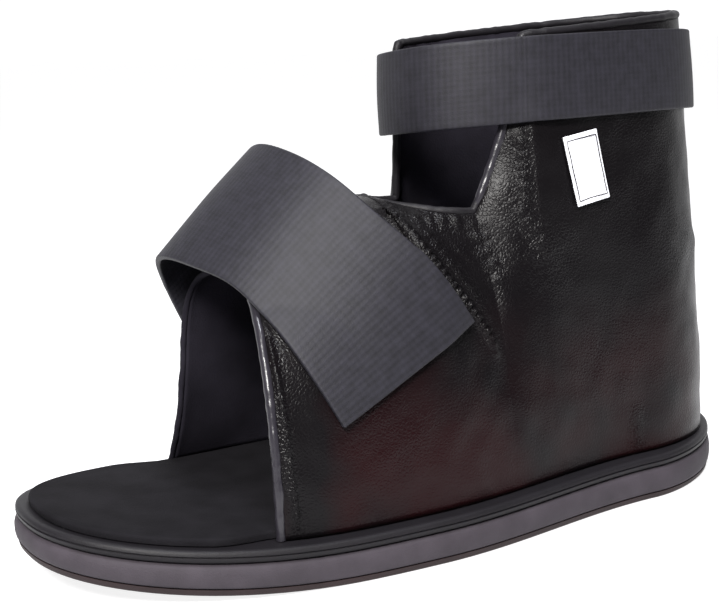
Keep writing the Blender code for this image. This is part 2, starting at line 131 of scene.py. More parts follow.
def vinylMaterial():
    # Embossed PVC leathercloth: a pebbled print under a half-gloss lacquer, so each pebble catches
    # a small light of its own and the creases show as lines of them.
    vinyl = {"colour": "#0c0a0c", "redTint": "#1b080a", "roughness": 0.34, "specular": 0.15,
             "pebble": 1.25, "pebbleDepth": 0.16, "fineGrain": 0.45, "fineDepth": 0.03}
    material, tree, shader = newMaterial(
        "embossed vinyl leathercloth", vinyl["colour"], vinyl["roughness"], vinyl["specular"])
    place = addNode(tree, "ShaderNodeTexCoord").outputs["Object"]
    creased = addNode(tree, "ShaderNodeAttribute", {"attribute_name": "creased"}).outputs["Fac"]

    bend = addNode(tree, "ShaderNodeTexNoise", {"Scale": 260.0, "Detail": 2.0}, {"Vector": place})
    bendMm = addNode(tree, "ShaderNodeVectorMath", {"operation": "SCALE", "Scale": 0.0011},
                     {0: bend.outputs["Color"]})
    bent = addNode(tree, "ShaderNodeVectorMath", {"operation": "ADD"},
                   {0: place, 1: bendMm.outputs["Vector"]})
    pebbles = addNode(
        tree, "ShaderNodeTexVoronoi",
        {"feature": "DISTANCE_TO_EDGE", "Scale": 1 / (vinyl["pebble"] * millimetre)},
        {"Vector": bent.outputs["Vector"]})
    domes = addNode(tree, "ShaderNodeMapRange",
                    {"interpolation_type": "SMOOTHSTEP", "From Min": 0.0, "From Max": 0.32},
                    {"Value": pebbles.outputs["Distance"]})
    depth = addNode(tree, "ShaderNodeMapRange",
                    {"From Min": 0.0, "From Max": 1.0, "To Min": 0.30, "To Max": 1.0},
                    {"Value": creased})
    raised = addNode(tree, "ShaderNodeMath", {"operation": "MULTIPLY"},
                     {0: domes.outputs["Result"], 1: depth.outputs["Result"]})
    fine = addNode(tree, "ShaderNodeTexNoise",
                   {"Scale": 1 / (vinyl["fineGrain"] * millimetre), "Detail": 3.0},
                   {"Vector": place})
    fineBump = addNode(tree, "ShaderNodeBump",
                       {"Strength": 1.0, "Distance": vinyl["fineDepth"] * millimetre},
                       {"Height": fine.outputs["Fac"]})
    pebbleBump = addNode(tree, "ShaderNodeBump",
                         {"Strength": 1.0, "Distance": vinyl["pebbleDepth"] * millimetre},
                         {"Height": raised.outputs["Value"], "Normal": fineBump.outputs["Normal"]})
    tree.links.new(pebbleBump.outputs["Normal"], shader.inputs["Normal"])

    # Worn lacquer varies the gloss, and the colour turns a little red in patches towards the sole.
    patches = addNode(tree, "ShaderNodeTexNoise", {"Scale": 38.0, "Detail": 4.0}, {"Vector": place})
    gloss = addNode(tree, "ShaderNodeMapRange",
                    {"From Min": 0.3, "From Max": 0.7, "To Min": 0.27, "To Max": 0.42},
                    {"Value": patches.outputs["Fac"]})
    tree.links.new(gloss.outputs["Result"], shader.inputs["Roughness"])
    height = addNode(tree, "ShaderNodeSeparateXYZ", {}, {"Vector": place})
    low = addNode(tree, "ShaderNodeMapRange",
                  {"From Min": 0.085, "From Max": 0.035, "To Min": 0.0, "To Max": 1.0},
                  {"Value": height.outputs["Z"]})
    broad = addNode(tree, "ShaderNodeTexNoise", {"Scale": 22.0, "Detail": 2.0}, {"Vector": place})
    spots = addNode(tree, "ShaderNodeMapRange", {"From Min": 0.42, "From Max": 0.62},
                    {"Value": broad.outputs["Fac"]})
    tinted = addNode(tree, "ShaderNodeMath", {"operation": "MULTIPLY"},
                     {0: low.outputs["Result"], 1: spots.outputs["Result"]})
    colour = addNode(tree, "ShaderNodeMix", {"data_type": "RGBA"},
                     {"Factor": tinted.outputs["Value"]})
    colour.inputs["A"].default_value = hexToLinear(vinyl["colour"])
    colour.inputs["B"].default_value = hexToLinear(vinyl["redTint"])
    tree.links.new(colour.outputs["Result"], shader.inputs["Base Color"])
    return material


def bindingMaterial():
    # Smooth PVC binding tape, rolled over the edge: glossier than the leathercloth, and puckered.
    binding = {"colour": "#26242a", "roughness": 0.30, "specular": 0.5, "pucker": 2.6, "depth": 0.22}
    material, tree, shader = newMaterial(
        "rolled vinyl binding", binding["colour"], binding["roughness"], binding["specular"])
    place = addNode(tree, "ShaderNodeTexCoord").outputs["Object"]
    pucker = addNode(tree, "ShaderNodeTexNoise",
                     {"Scale": 1 / (binding["pucker"] * millimetre), "Detail": 2.0},
                     {"Vector": place})
    bump = addNode(tree, "ShaderNodeBump",
                   {"Strength": 0.8, "Distance": binding["depth"] * millimetre},
                   {"Height": pucker.outputs["Fac"]})
    tree.links.new(bump.outputs["Normal"], shader.inputs["Normal"])
    return material


def knitMaterial(name, colour, stitch):
    # Brushed polyester knit bonded to foam: no shine, a fine nap and a faint violet cast.
    material, tree, shader = newMaterial(name, colour, 0.92, 0.08)
    place = addNode(tree, "ShaderNodeTexCoord").outputs["Object"]
    loops = addNode(tree, "ShaderNodeTexVoronoi", {"Scale": 1 / (stitch * millimetre)},
                    {"Vector": place})
    nap = addNode(tree, "ShaderNodeTexNoise", {"Scale": 900.0, "Detail": 3.0}, {"Vector": place})
    loopBump = addNode(tree, "ShaderNodeBump", {"Strength": 0.7, "Distance": 0.00012},
                       {"Height": loops.outputs["Distance"]})
    napBump = addNode(tree, "ShaderNodeBump", {"Strength": 0.6, "Distance": 0.00006},
                      {"Height": nap.outputs["Fac"], "Normal": loopBump.outputs["Normal"]})
    tree.links.new(napBump.outputs["Normal"], shader.inputs["Normal"])
    cloud = addNode(tree, "ShaderNodeTexNoise", {"Scale": 70.0, "Detail": 3.0}, {"Vector": place})
    shade = addNode(tree, "ShaderNodeMapRange",
                    {"From Min": 0.3, "From Max": 0.7, "To Min": 0.75, "To Max": 1.25},
                    {"Value": cloud.outputs["Fac"]})
    tone = addNode(tree, "ShaderNodeVectorMath", {"operation": "SCALE"},
                   {"Scale": shade.outputs["Result"]})
    tone.inputs[0].default_value = hexToLinear(colour)[:3]
    tree.links.new(tone.outputs["Vector"], shader.inputs["Base Color"])
    return material


def webbingMaterial():
    # Woven nylon hook-and-loop tape: rows of weft across it, each broken into dots by the warp,
    # under a short nap. Its gloss is broad and soft, so it brightens where it faces the light.
    web = {"colour": "#1b1a21", "roughness": 0.60, "specular": 0.34, "weft": 2.3, "warp": 1.9,
           "depth": 0.05, "mottle": 4.5}
    material, tree, shader = newMaterial(
        "woven nylon loop tape", web["colour"], web["roughness"], web["specular"])
    laid = addNode(tree, "ShaderNodeUVMap", {"uv_map": "tape"}).outputs["UV"]
    jitter = addNode(tree, "ShaderNodeTexNoise", {"Scale": 1.6, "Detail": 2.0}, {"Vector": laid})
    parts = addNode(tree, "ShaderNodeSeparateXYZ", {}, {"Vector": laid})
    waves = []
    for axis, spacing, bend in (("X", web["weft"], 0.9), ("Y", web["warp"], 0.7)):
        turns = addNode(tree, "ShaderNodeMath", {"operation": "MULTIPLY", 1: 2 * math.pi / spacing},
                        {0: parts.outputs[axis]})
        bent = addNode(tree, "ShaderNodeMath", {"operation": "MULTIPLY_ADD", 1: bend},
                       {0: jitter.outputs["Fac"], 2: turns.outputs["Value"]})
        wave = addNode(tree, "ShaderNodeMath", {"operation": "SINE"}, {0: bent.outputs["Value"]})
        waves.append(wave.outputs["Value"])
    dots = addNode(tree, "ShaderNodeMath", {"operation": "MULTIPLY_ADD", 1: 0.45},
                   {0: waves[1], 2: waves[0]})
    weave = addNode(tree, "ShaderNodeMapRange",
                    {"From Min": -1.4, "From Max": 1.4, "To Min": 0.0, "To Max": 1.0},
                    {"Value": dots.outputs["Value"]})
    nap = addNode(tree, "ShaderNodeTexNoise", {"Scale": 2.2, "Detail": 4.0}, {"Vector": laid})
    weaveBump = addNode(tree, "ShaderNodeBump",
                        {"Strength": 0.9, "Distance": web["depth"] * millimetre},
                        {"Height": weave.outputs["Result"]})
    napBump = addNode(tree, "ShaderNodeBump", {"Strength": 0.7, "Distance": 0.00014},
                      {"Height": nap.outputs["Fac"], "Normal": weaveBump.outputs["Normal"]})
    tree.links.new(napBump.outputs["Normal"], shader.inputs["Normal"])
    # The colour is mottled at random and, following the weave's height, painted lighter on the raised dots
    # and darker in the dips between them: painted shade in the weave.
    mottle = addNode(tree, "ShaderNodeTexNoise", {"Scale": 1 / web["mottle"], "Detail": 4.0},
                     {"Vector": laid})
    mottleAndWeaveShade = addNode(tree, "ShaderNodeMath", {"operation": "MULTIPLY_ADD", 1: 0.35},
                     {0: weave.outputs["Result"], 2: mottle.outputs["Fac"]})
    shade = addNode(tree, "ShaderNodeMapRange",
                    {"From Min": 0.4, "From Max": 1.0, "To Min": 0.62, "To Max": 1.45},
                    {"Value": mottleAndWeaveShade.outputs["Value"]})
    tone = addNode(tree, "ShaderNodeVectorMath", {"operation": "SCALE"},
                   {"Scale": shade.outputs["Result"]})
    tone.inputs[0].default_value = hexToLinear(web["colour"])[:3]
    tree.links.new(tone.outputs["Vector"], shader.inputs["Base Color"])
    return material


def foamMaterial(name, colour, roughness, specular, cell, depth):
    # Cut EVA foam: closed cells leave tiny open pits, and the cut face is a little uneven.
    material, tree, shader = newMaterial(name, colour, roughness, specular)
    place = addNode(tree, "ShaderNodeTexCoord").outputs["Object"]
    cells = addNode(tree, "ShaderNodeTexVoronoi", {"Scale": 1 / (cell * millimetre)},
                    {"Vector": place})
    uneven = addNode(tree, "ShaderNodeTexNoise", {"Scale": 90.0, "Detail": 4.0}, {"Vector": place})
    cellBump = addNode(tree, "ShaderNodeBump", {"Strength": 0.6, "Distance": depth * millimetre},
                       {"Height": cells.outputs["Distance"]})
    bump = addNode(tree, "ShaderNodeBump", {"Strength": 0.5, "Distance": 0.0003},
                   {"Height": uneven.outputs["Fac"], "Normal": cellBump.outputs["Normal"]})
    tree.links.new(bump.outputs["Normal"], shader.inputs["Normal"])
    shade = addNode(tree, "ShaderNodeMapRange",
                    {"From Min": 0.3, "From Max": 0.7, "To Min": 0.82, "To Max": 1.15},
                    {"Value": uneven.outputs["Fac"]})
    tone = addNode(tree, "ShaderNodeVectorMath", {"operation": "SCALE"},
                   {"Scale": shade.outputs["Result"]})
    tone.inputs[0].default_value = hexToLinear(colour)[:3]
    tree.links.new(tone.outputs["Vector"], shader.inputs["Base Color"])
    return material


def labelMaterial():
    # Woven polyester label: white, smooth and flat, with a fine thread ribbing.
    material, tree, shader = newMaterial("white woven label", "#e9eaf0", 0.65, 0.3)
    place = addNode(tree, "ShaderNodeTexCoord").outputs["Object"]
    rib = addNode(tree, "ShaderNodeTexWave", {"Scale": 420.0, "bands_direction": "Z"},
                  {"Vector": place})
    bump = addNode(tree, "ShaderNodeBump", {"Strength": 0.5, "Distance": 0.00008},
                   {"Height": rib.outputs["Fac"]})
    tree.links.new(bump.outputs["Normal"], shader.inputs["Normal"])
    return material


def threadMaterial():
    # Bonded polyester sewing thread: round, dark and slightly shiny.
    material, tree, shader = newMaterial("sewing thread", "#2a282e", 0.45, 0.5)
    place = addNode(tree, "ShaderNodeTexCoord").outputs["Object"]
    twist = addNode(tree, "ShaderNodeTexWave", {"Scale": 700.0, "bands_direction": "DIAGONAL"},
                    {"Vector": place})
    bump = addNode(tree, "ShaderNodeBump", {"Strength": 0.6, "Distance": 0.0001},
                   {"Height": twist.outputs["Fac"]})
    tree.links.new(bump.outputs["Normal"], shader.inputs["Normal"])
    return material


print("materials")
vinyl = vinylMaterial()
binding = bindingMaterial()
lining = knitMaterial("violet-grey lining knit", "#222027", 0.8)
footbedKnit = knitMaterial("black footbed knit", "#171619", 0.7)
webbing = webbingMaterial()
midsoleFoam = foamMaterial("mauve-grey midsole foam", "#39343a", 0.72, 0.25, 0.5, 0.12)
rimFoam = foamMaterial("black rim foam", "#141216", 0.55, 0.28, 0.5, 0.10)
outsoleRubber = foamMaterial("outsole rubber", "#241719", 0.70, 0.35, 0.8, 0.10)
label = labelMaterial()
thread = threadMaterial()


# Sole outline and heights
def solePoint(inset, station, heelRoundness=shoe["heelRoundness"]):
    # station runs 0 to 1 round the heel, 1 to 2 along the side and 2 to 3 round the toe
    heelHalf = shoe["heelWidth"] / 2 - inset
    ballHalf = shoe["ballWidth"] / 2 - inset
    if station <= 1:
        angle = station * math.pi / 2
        reach = shoe["heelArcX"] - inset
        x = shoe["heelArcX"] - reach * math.cos(angle) ** (2 / heelRoundness)
        return x, heelHalf * math.sin(angle) ** (2 / heelRoundness)
    if station <= 2:
        share = station - 1
        return mix(shoe["heelArcX"], shoe["ballX"], share), mix(heelHalf, ballHalf, smooth(0, 1, share))
    angle = max((3 - station) * math.pi / 2, 0.0)
    reach = shoe["length"] - shoe["ballX"] - inset
    x = shoe["ballX"] + reach * math.cos(angle) ** (2 / shoe["toeRoundness"])
    return x, ballHalf * math.sin(angle) ** (2 / shoe["toeRoundness"])


def floorRise(x):
    share = max((x - shoe["springStartX"]) / (shoe["length"] - shoe["springStartX"]), 0.0)
    return shoe["toeSpring"] * share * share


def midsoleTop(x):
    thickness = mix(shoe["midsoleHeel"], shoe["midsoleToe"], x / shoe["length"])
    return floorRise(x) + shoe["outsole"] + shoe["gap"] + thickness


def weltTop(x):
    return midsoleTop(x) + shoe["gap"] + shoe["welt"]


def solePiece(name, rows, material, node):
    # Rings of the outline, extruded from a circle up the side profile and bridged across the ends
    half = 90
    bm = bmesh.new()
    start = bmesh.ops.create_circle(bm, segments=2 * half, radius=1.0)
    ring = sorted(start["verts"], key=lambda v: math.atan2(v.co.y, v.co.x) % (2 * math.pi))
    stations = [3 * i / half for i in range(half + 1)]

    def shapeRing(verts, row):
        for i, vert in enumerate(verts):
            station = stations[i if i <= half else 2 * half - i]
            x0, _ = solePoint(0, station)
            x, y = solePoint(row["inset"](x0), station)
            vert.co = placed(x, y if i <= half else -y, row["height"](x))

    shapeRing(ring, rows[0])
    rings = [ring]
    for row in rows[1:]:
        edges = [bm.edges.get((ring[i], ring[(i + 1) % len(ring)])) for i in range(len(ring))]
        made = bmesh.ops.extrude_edge_only(bm, edges=edges)
        fresh = [v for v in made["geom"] if isinstance(v, bmesh.types.BMVert)]
        following = []
        for vert in ring:
            following.append(next(e.other_vert(vert) for e in vert.link_edges
                                  if e.other_vert(vert) in fresh and e not in edges))
        shapeRing(following, row)
        ring = following
        rings.append(ring)
    for ring in (rings[0], rings[-1]):
        near = [bm.edges.get((ring[i], ring[i + 1])) for i in range(1, half - 1)]
        far = [bm.edges.get((ring[-i], ring[-i - 1])) for i in range(1, half - 1)]
        bmesh.ops.bridge_loops(bm, edges=near + far)
        for tip in (0, half):
            bmesh.ops.contextual_create(bm, geom=[ring[tip - 1], ring[tip], ring[(tip + 1) % len(ring)]])
    bmesh.ops.recalc_face_normals(bm, faces=bm.faces)
    return finishPiece(name, bm, material, [node], 50)


def soleProfile(floor, top, sides):
    return [{"inset": side["inset"],
             "height": (lambda x, s=side["rise"]: mix(floor(x), top(x), s))} for side in sides]


def flat(distance):
    return lambda x: distance


print("sole")
outsoleSides = [
    {"rise": 0.0, "inset": flat(0.0026)}, {"rise": 0.0, "inset": flat(0.0018)},
    {"rise": 0.25, "inset": flat(0.0012)}, {"rise": 1.0, "inset": flat(0.0008)},
    {"rise": 1.0, "inset": flat(0.0012)},
]
solePiece("outsoleSheet", soleProfile(floorRise, lambda x: floorRise(x) + shoe["outsole"], outsoleSides),
          outsoleRubber, "outsole")

midsoleSides = [
    {"rise": 0.0, "inset": flat(0.0016)}, {"rise": 0.02, "inset": flat(0.0008)},
    {"rise": 0.12, "inset": flat(0.0003)}, {"rise": 0.32, "inset": flat(0.0)},
    {"rise": 0.60, "inset": flat(0.0)}, {"rise": 0.82, "inset": flat(0.0004)},
    {"rise": 0.94, "inset": flat(0.0010)}, {"rise": 1.0, "inset": flat(0.0020)},
]
solePiece("midsoleSlab", soleProfile(lambda x: floorRise(x) + shoe["outsole"] + shoe["gap"],
                                     midsoleTop, midsoleSides),
          midsoleFoam, "midsole")

weltSides = [
    {"rise": 0.0, "inset": flat(0.0026)}, {"rise": 0.05, "inset": flat(0.0015)},
    {"rise": 0.16, "inset": flat(0.0009)}, {"rise": 0.42, "inset": flat(0.0007)},
    {"rise": 0.50, "inset": flat(0.0012)}, {"rise": 0.58, "inset": flat(0.0007)},
    {"rise": 0.80, "inset": flat(0.0009)}, {"rise": 0.94, "inset": flat(0.0015)},
    {"rise": 1.0, "inset": flat(0.0026)}, {"rise": 0.97, "inset": flat(0.0036)},
]
solePiece("rimFoam", soleProfile(lambda x: midsoleTop(x) + shoe["gap"], weltTop, weltSides),
          rimFoam, "welt")


def footbedInset(extra):
    inside = shoe["upperInset"] + shoe["wall"] + 0.0018

    def inset(x):
        start = shoe["nearToeX"] + 0.005
        return extra + mix(inside, shoe["upperInset"] - shoe["wall"], smooth(start, start + 0.022, x))
    return inset


footbedSides = [
    {"rise": 0.0, "inset": footbedInset(0.0)}, {"rise": 0.55, "inset": footbedInset(0.0)},
    {"rise": 0.86, "inset": footbedInset(0.0003)}, {"rise": 1.0, "inset": footbedInset(0.0010)},
    {"rise": 0.90, "inset": footbedInset(0.0020)}, {"rise": 1.0, "inset": footbedInset(0.0032)},
    {"rise": 0.94, "inset": footbedInset(0.0046)}, {"rise": 1.0, "inset": footbedInset(0.0062)},
    {"rise": 1.0, "inset": footbedInset(0.0100)},
]
solePiece("footbedPad", soleProfile(lambda x: weltTop(x) + shoe["gap"],
                                    lambda x: weltTop(x) + shoe["gap"] + shoe["insole"], footbedSides),
          footbedKnit, "insole")


# Upper: ribs run from the welt up to the free edge, in five runs from the heel to the toe
pulls = {
    "shaft": {"rise": 1.0, "forward": 1.0, "inward": 1.0, "upward": 1.0},
    "notch": {"rise": 1.35, "forward": 0.5, "inward": 1.1, "upward": 0.55},
    "arch": {"rise": 1.80, "forward": 2.0, "inward": 1.95, "upward": 0.0},
    "farArch": {"rise": 1.80, "forward": 1.0, "inward": 3.8, "upward": 0.0},
}
throatBend = {"forward": 0.24, "inward": 0.6, "down": 0.52}
farLean = 2.0
runs = (
    {"edge": "heel", "ribs": 12, "first": "shaft", "last": "shaft"},
    {"edge": "collar", "ribs": 7, "first": "shaft", "last": "shaft"},
    {"edge": "throatSide", "ribs": 9, "first": "shaft", "last": "notch"},
    {"edge": "throatFront", "ribs": 7, "first": "notch", "last": "arch"},
    {"edge": "crest", "ribs": 12, "first": "arch", "last": "arch"},
)
ribCount = sum(run["ribs"] for run in runs)
evenPart = sum(run["ribs"] for run in runs[2:]) / (2 * ribCount)


def weltFoot(x):
    low, high = 1.0, 3.0
    for _ in range(40):
        middle = (low + high) / 2
        if solePoint(shoe["upperInset"], middle)[0] < x:
            low = middle
        else:
            high = middle
    return Vector((x, solePoint(shoe["upperInset"], low)[1], weltTop(x) + shoe["gap"]))


def onRim(x):
    middle = (shoe["collarBackX"] + shoe["collarFrontX"]) / 2
    share = min(abs(x - middle) / (shoe["collarFrontX"] - middle), 1.0)
    roundness = shoe["collarRoundness"]
    halfWidth = shoe["collarWidth"] / 2 * (1 - share**roundness) ** (1 / roundness)
    fall = (x - shoe["collarBackX"]) / (shoe["farCornerX"] - shoe["collarBackX"])
    return Vector((x, halfWidth, mix(shoe["collarHeight"], shoe["collarFrontHeight"], fall)))


def headPoint(edge, share, cornerX):
    notch = Vector((shoe["notchX"], shoe["notchHalfWidth"], shoe["notchHeight"]))
    if edge == "collar":
        return onRim(mix(shoe["collarSideX"], cornerX, share))
    if edge == "throatSide":
        top = onRim(cornerX)
        ways = (throatBend["forward"], throatBend["inward"], throatBend["down"])
        bend = Vector([mix(a, b, way) for a, b, way in zip(top, notch, ways)])
        return top.lerp(bend, share).lerp(bend.lerp(notch, share), share)
    if edge == "throatFront":
        angle = (1 - share) * math.pi / 2
        x = mix(shoe["notchX"], shoe["throatFrontX"], math.cos(angle))
        fall = math.sin(angle) ** 2
        return Vector((x, shoe["notchHalfWidth"] * math.sin(angle),
                       mix(shoe["instepHeight"], shoe["notchHeight"], fall)))
    sag = mix(share, share * share, shoe["crestSag"])
    return Vector((mix(shoe["throatFrontX"], shoe["crestX"], share), 0,
                   mix(shoe["instepHeight"], shoe["crestHeight"], sag)))


def ribEnds(position):
    # Foot, head and their pulls at a position: 0 at the heel, ribCount at the near toe edge, and
    # negative on the far side
    near = position >= 0
    cornerX = shoe["nearCornerX"] if near else shoe["farCornerX"]
    toeX = shoe["nearToeX"] if near else shoe["farToeX"]
    left = min(abs(position), ribCount)
    for run in runs:
        if left <= run["ribs"]:
            break
        left -= run["ribs"]
    share = left / run["ribs"]
    edge = run["edge"]
    last = run["last"] if near or edge != "crest" else "farArch"
    ease = smooth(0, 1, share)
    pull = {key: mix(pulls[run["first"]][key], pulls[last][key], ease) for key in pulls["shaft"]}
    lean = 0.0
    if edge == "heel":
        x, y = solePoint(shoe["upperInset"], share, shoe["upperHeelRoundness"])
        reach = shoe["collarSideX"] - shoe["collarBackX"]
        angle = share * math.pi / 2
        head = onRim(shoe["collarSideX"] - reach * math.cos(angle) ** (2 / shoe["upperHeelRoundness"]))
        foot = Vector((x, y, weltTop(x) + shoe["gap"]))
    else:
        stops = {
            "collar": (shoe["heelArcX"], shoe["nearCornerX"]),
            "throatSide": (shoe["nearCornerX"], shoe["notchX"]),
            "throatFront": (shoe["notchX"], shoe["throatFrontX"]),
            "crest": (shoe["throatFrontX"], toeX),
        }[edge]
        foot = weltFoot(mix(*stops, share))
        head = headPoint(edge, share, cornerX)
        lean = 0.0 if near else farLean * smooth(shoe["notchX"], toeX, foot.x)
    reach = head - foot
    start = Vector((0, lean * reach.y, pull["rise"] * reach.z))
    end = Vector((pull["forward"] * reach.x, pull["inward"] * reach.y, pull["upward"] * reach.z))
    foot = foot + Vector((0, 0, shoe["wall"] * abs(start.y) / start.length))
    ends = [foot, start, head, end]
    if not near:
        ends = [Vector((v.x, -v.y, v.z)) for v in ends]
    return ends


def onRib(ends, t):
    foot, start, head, end = ends
    a = 2 * t**3 - 3 * t**2 + 1
    b = t**3 - 2 * t**2 + t
    c = -2 * t**3 + 3 * t**2
    d = t**3 - t**2
    return a * foot + b * start + c * head + d * end - Vector((middleX, 0, 0))


def columnPosition(share, finePart):
    # finePart of the columns go to the near side in front of the collar, where most creases lie
    fineStart = sum(run["ribs"] for run in runs[:2])
    if share < 1 - finePart:
        return mix(-ribCount, fineStart, share / (1 - finePart))
    return mix(fineStart, ribCount, (share - 1 + finePart) / finePart)


def upperGrid(steps, heights, finePart):
    # Points and outward normals on the upper's outer surface
    points = []
    for i in range(steps + 1):
        ends = ribEnds(columnPosition(i / steps, finePart))
        points.append([onRib(ends, j / heights) for j in range(heights + 1)])
    normals = []
    for i in range(steps + 1):
        line = []
        for j in range(heights + 1):
            along = points[min(i + 1, steps)][j] - points[max(i - 1, 0)][j]
            up = points[i][min(j + 1, heights)] - points[i][max(j - 1, 0)]
            normal = up.cross(along)
            line.append(normal.normalized() if normal.length > 0 else Vector((0, 0, 1)))
        normals.append(line)
    return points, normals


# A plain copy of the surface, which edges, creases, straps and label are laid on
edgeSteps, edgeHeights = 460, 60
edgePoints, edgeNormals = upperGrid(edgeSteps, edgeHeights, evenPart)
perLine = edgeHeights + 1
upperTree = BVHTree.FromPolygons(
    [point for line in edgePoints for point in line],
    [(i * perLine + j, i * perLine + j + 1, (i + 1) * perLine + j + 1, (i + 1) * perLine + j)
     for i in range(edgeSteps) for j in range(edgeHeights)])

# Creases, each a soft ridge along listed points on the surface, in millimetres from the heel
# back, from the middle and from the floor. pucker is the spacing of the gathers across the ridge.
creases = (
    {"name": "roll behind the forefoot strap", "height": 2.6, "width": 1.9, "pucker": 2.9,
     "path": ((159, 16, 116), (157, 23, 113), (155, 31, 108), (153, 36, 103), (149, 39.5, 97),
              (145, 42, 90), (140, 44, 83), (136, 45.5, 77), (132, 47, 70), (131, 48, 64))},
    {"name": "second roll behind the strap", "height": 0.7, "width": 2.2, "pucker": 4.4,
     "path": ((150, 28, 111), (147, 33, 105), (143, 37, 98), (139, 40, 91), (135, 42.5, 84),
              (131, 44.5, 76))},
    {"name": "inner edge of the toe binding", "height": 1.5, "width": 1.15, "pucker": 3.4,
     "path": ((213, 34, 82), (214, 40, 75), (214.5, 44, 68), (214.8, 47, 61), (215, 49.5, 53),
              (215, 51.5, 45), (215, 53, 36), (214.5, 54, 26), (214, 54.5, 18))},
    {"name": "instep fold under the throat", "height": 0.9, "width": 3.0, "pucker": 5.0,
     "path": ((156, 18, 116), (152, 24, 114), (146, 27, 112), (139, 29, 111.5), (132, 30, 111.5))},
    {"name": "fold below the notch", "height": 1.0, "width": 2.6, "pucker": 5.5,
     "path": ((128, 31, 111), (127.6, 34, 104), (126, 38, 96), (124.6, 41, 88))},
    {"name": "fold behind the notch", "height": 0.8, "width": 2.8, "pucker": 4.6,
     "path": ((116, 36, 118), (112, 38, 112), (108, 40, 105), (103, 42, 97), (99, 43, 89))},
    {"name": "fold beside the throat piping", "height": 0.8, "width": 2.0, "pucker": 4.0,
     "path": ((109.5, 33, 142), (110, 35, 132), (110.5, 36.5, 123), (111, 38, 114))},
    {"name": "heel crease", "height": 0.6, "width": 1.8, "pucker": 0,
     "path": ((65, 43.5, 18), (64.6, 43.4, 28), (64, 43, 36))},
    {"name": "far instep fold", "height": 0.9, "width": 3.0, "pucker": 5.0,
     "path": ((157, -12, 118.5), (151, -23, 114), (143, -29, 110), (134, -32, 106))},
    {"name": "far quarter fold", "height": 1.0, "width": 3.5, "pucker": 6.0,
     "path": ((128, -36, 98), (136, -42, 84), (146, -47, 70), (158, -51, 56))},
    {"name": "far ankle fold", "height": 0.8, "width": 3.2, "pucker": 5.0,
     "path": ((112, -38, 118), (104, -40, 106), (97, -42, 94), (88, -43, 84))},
    {"name": "back ankle fold", "height": 0.7, "width": 4.0, "pucker": 0,
     "path": ((40, -37, 96), (22, -24, 92), (14, 0, 90), (22, 24, 93), (38, 35, 98))},
)
# Fans of fine parallel wrinkles: middle, half size and turn of the patch, and spacing in mm
fans = (
    {"side": 1, "x": 104, "z": 99, "reachX": 21, "reachZ": 22, "turn": 38, "spacing": 3.9, "height": 0.42},
    {"side": 1, "x": 140, "z": 96, "reachX": 16, "reachZ": 18, "turn": -50, "spacing": 4.3, "height": 0.30},
    {"side": 1, "x": 178, "z": 45, "reachX": 26, "reachZ": 20, "turn": 20, "spacing": 5.2, "height": 0.16},
    {"side": 1, "x": 70, "z": 60, "reachX": 34, "reachZ": 30, "turn": 70, "spacing": 6.5, "height": 0.14},
    {"side": -1, "x": 112, "z": 97, "reachX": 24, "reachZ": 22, "turn": 42, "spacing": 4.1, "height": 0.40},
    {"side": -1, "x": 168, "z": 60, "reachX": 26, "reachZ": 24, "turn": -35, "spacing": 4.8, "height": 0.28},
    {"side": -1, "x": 75, "z": 70, "reachX": 34, "reachZ": 34, "turn": 60, "spacing": 6.0, "height": 0.16},
)
undulation = {"size": 26.0, "height": 0.75}


def nearestOnPath(point, path):
    best, travelled, found = 1e9, 0.0, 0.0
    for a, b in zip(path, path[1:]):
        span = b - a
        share = min(max((point - a).dot(span) / span.length_squared, 0.0), 1.0)
        away = (point - a.lerp(b, share)).length
        if away < best:
            best, found = away, travelled + share * span.length
        travelled += span.length
    return best, found, travelled


for crease in creases:
    marks = [placed(x * millimetre, y * millimetre, z * millimetre) for x, y, z in crease["path"]]
    crease["points"] = [upperTree.find_nearest(mark)[0] for mark in marks]
    low = [min(p[k] for p in crease["points"]) for k in range(3)]
    high = [max(p[k] for p in crease["points"]) for k in range(3)]
    crease["low"], crease["high"] = low, high


def creaseHeight(point):
    # Height of all creases at a point of the outer surface, and how creased it is, both in mm
    total, creased = 0.0, 0.0
    for crease in creases:
        reach = 3 * crease["width"] * millimetre
        if any(point[k] < crease["low"][k] - reach or point[k] > crease["high"][k] + reach
               for k in range(3)):
            continue
        away, along, length = nearestOnPath(point, crease["points"])
        fade = smooth(0, 0.12 * length, along) * smooth(0, 0.12 * length, length - along)
        shape = math.exp(-(away / (crease["width"] * millimetre)) ** 2)
        gather = 1.0
        if crease["pucker"]:
            turn = 2 * math.pi * along / (crease["pucker"] * millimetre)
            gather = 0.72 + 0.42 * math.sin(turn + 2.2 * noise.noise(point * 160))
        total += crease["height"] * shape * (0.25 + 0.75 * fade) * gather
        wide = math.exp(-(away / (2.2 * crease["width"] * millimetre)) ** 2)
        stretched = 1 - 0.75 * shape if crease["height"] > 2 else 1  # the print is pulled flat there
        creased = max(creased, wide * (0.3 + 0.7 * fade)) * stretched
    for fan in fans:
        if point.y * fan["side"] < 0:
            continue
        dx = ((point.x + middleX) / millimetre - fan["x"]) / fan["reachX"]
        dz = (point.z / millimetre - fan["z"]) / fan["reachZ"]
        mask = 1 - smooth(0.35, 1.0, math.hypot(dx, dz))
        if mask <= 0:
            continue
        turn = math.radians(fan["turn"])
        across = (dx * fan["reachX"] * math.sin(turn) + dz * fan["reachZ"] * math.cos(turn))
        wobble = 2.6 * noise.noise(point * 60) + 1.2 * noise.noise(point * 190)
        ripple = math.sin(2 * math.pi * across / fan["spacing"] + wobble)
        broken = smooth(-0.35, 0.45, noise.noise(point * 95 + Vector((7, 3, 1))))
        total += fan["height"] * mask * broken * (ripple * 0.5 + 0.5) ** 1.6
        creased = max(creased, mask * min(fan["height"] / 0.42, 1.0) * (0.35 + 0.65 * broken))
    return total, creased


